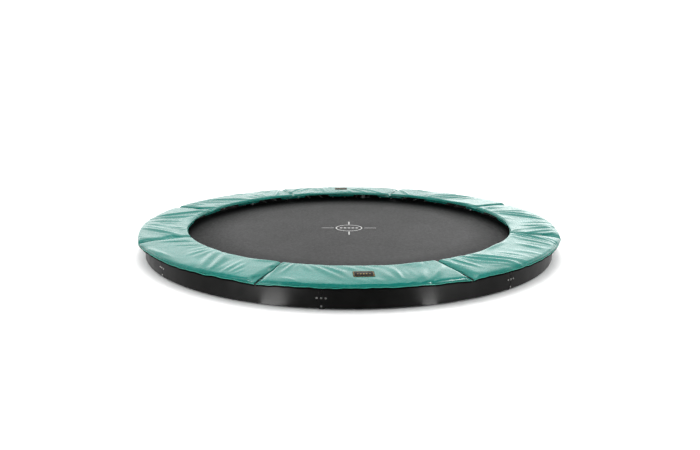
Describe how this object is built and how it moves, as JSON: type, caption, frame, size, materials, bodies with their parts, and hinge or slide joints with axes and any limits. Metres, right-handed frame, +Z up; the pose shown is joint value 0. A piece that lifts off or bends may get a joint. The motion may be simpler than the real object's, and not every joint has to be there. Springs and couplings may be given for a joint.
{
  "type": "ground-level trampoline",
  "caption": "Round ground-level trampoline: low steel wall ring on short legs, sprung woven mat, and padded covers over the springs.",
  "frame": {"origin": "middle of the ring, on the plane that the foot caps stand on", "axes": "+Z up, +X to the right and -Y to the front; the first wall seam is 5.9 degrees left of the front"},
  "size_m": [3.765, 3.765, 0.208],
  "materials": {
    "wall_sheet": "satin black powder coat",
    "galvanised_tube": "galvanised",
    "joint_plate": "galvanised",
    "bolt": "zinc plated, bright",
    "foot_cap": "matte",
    "spring_wire": "zinc plated, bright",
    "pad_cover": "glossy coated fabric",
    "pad_foam": "closed-cell foam",
    "mat_weave": "woven black polypropylene",
    "webbing": "woven black webbing",
    "elastic": "woven elastic",
    "label": "printed coated patch"
  },
  "bodies": {
    "frame": {"wall_panel_1": "wall_sheet", "wall_panel_2": "wall_sheet", "wall_panel_3": "wall_sheet", "wall_panel_4": "wall_sheet", "wall_panel_5": "wall_sheet", "wall_panel_6": "wall_sheet", "wall_panel_7": "wall_sheet", "wall_panel_8": "wall_sheet", "rail_1": "galvanised_tube", "rail_2": "galvanised_tube", "rail_3": "galvanised_tube", "rail_4": "galvanised_tube", "rail_5": "galvanised_tube", "rail_6": "galvanised_tube", "rail_7": "galvanised_tube", "rail_8": "galvanised_tube", "leg_1": "galvanised_tube", "leg_2": "galvanised_tube", "leg_3": "galvanised_tube", "leg_4": "galvanised_tube", "leg_5": "galvanised_tube", "leg_6": "galvanised_tube", "leg_7": "galvanised_tube", "leg_8": "galvanised_tube", "springs_1": "spring_wire", "springs_2": "spring_wire", "springs_3": "spring_wire", "springs_4": "spring_wire", "springs_5": "spring_wire", "springs_6": "spring_wire", "springs_7": "spring_wire", "springs_8": "spring_wire", "pad_cover_1": "pad_cover", "pad_cover_2": "pad_cover", "pad_cover_3": "pad_cover", "pad_cover_4": "pad_cover", "pad_cover_5": "pad_cover", "pad_cover_6": "pad_cover", "pad_cover_7": "pad_cover", "pad_cover_8": "pad_cover", "pad_foam_1": "pad_foam", "pad_foam_2": "pad_foam", "pad_foam_3": "pad_foam", "pad_foam_4": "pad_foam", "pad_foam_5": "pad_foam", "pad_foam_6": "pad_foam", "pad_foam_7": "pad_foam", "pad_foam_8": "pad_foam", "foot_caps": "foot_cap", "joint_plates": "joint_plate", "panel_bolts": "bolt", "leg_bolts": "bolt", "bolt_nuts": "bolt", "rail_screws": "bolt", "pad_ties": "elastic", "pad_labels": "label"},
    "mat_sheet": {"mat": "mat_weave", "mat_hem": "webbing", "ring_webbing": "webbing", "v_rings": "spring_wire"}
  },
  "joints": [
    {"name": "mat_bounce", "type": "slide", "parent": "frame", "child": "mat_sheet", "axis": [0, 0, 1], "range_m": [-0.2, 0], "stiffness_N_per_m": 4500, "springref_m": 0.014, "deforming": ["springs_1", "springs_2", "springs_3", "springs_4", "springs_5", "springs_6", "springs_7", "springs_8"]}
  ]
}
